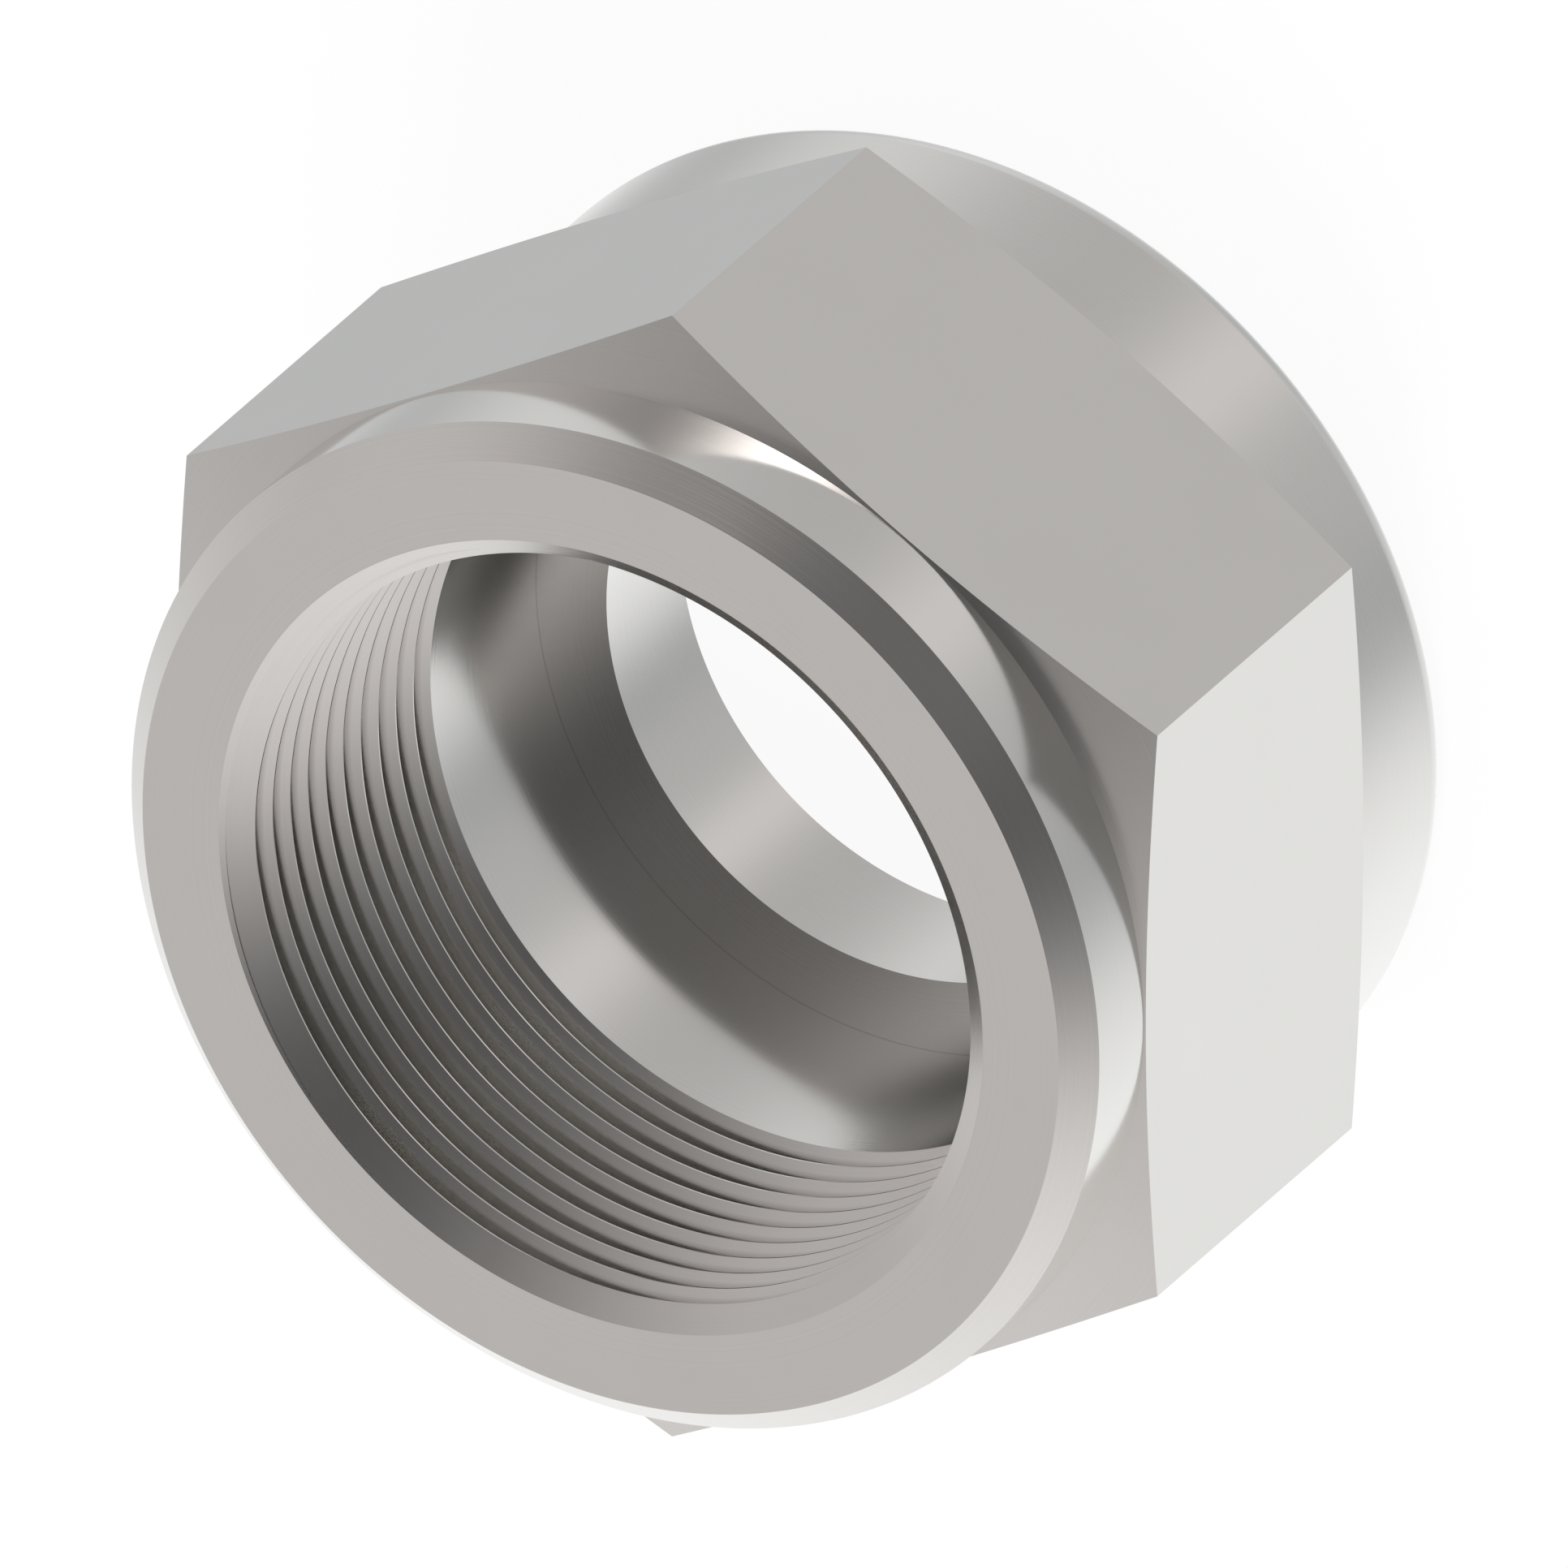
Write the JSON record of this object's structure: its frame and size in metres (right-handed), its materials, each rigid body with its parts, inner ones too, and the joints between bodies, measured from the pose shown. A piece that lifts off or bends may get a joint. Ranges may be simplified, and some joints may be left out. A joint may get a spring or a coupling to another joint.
{
  "type": "tube nut",
  "caption": "Hexagon tube nut with round collars, a threaded mouth, a flat inner seat and a plain hole for the tube behind it.",
  "frame": {"origin": "on the nut's axis, in the plane of the rear face that it stands on", "axes": "+Z along the nut's axis, from the rear face towards the threaded mouth; two corners of the hexagon lie on the X axis and two flats face along the Y axis"},
  "size_m": [0.037, 0.032, 0.0209],
  "materials": {
    "stainless_steel": "fine turned stainless steel with a soft satin gloss, clean and unworn"
  },
  "bodies": {
    "root": {"tube_nut": "stainless_steel"}
  },
  "joints": []
}
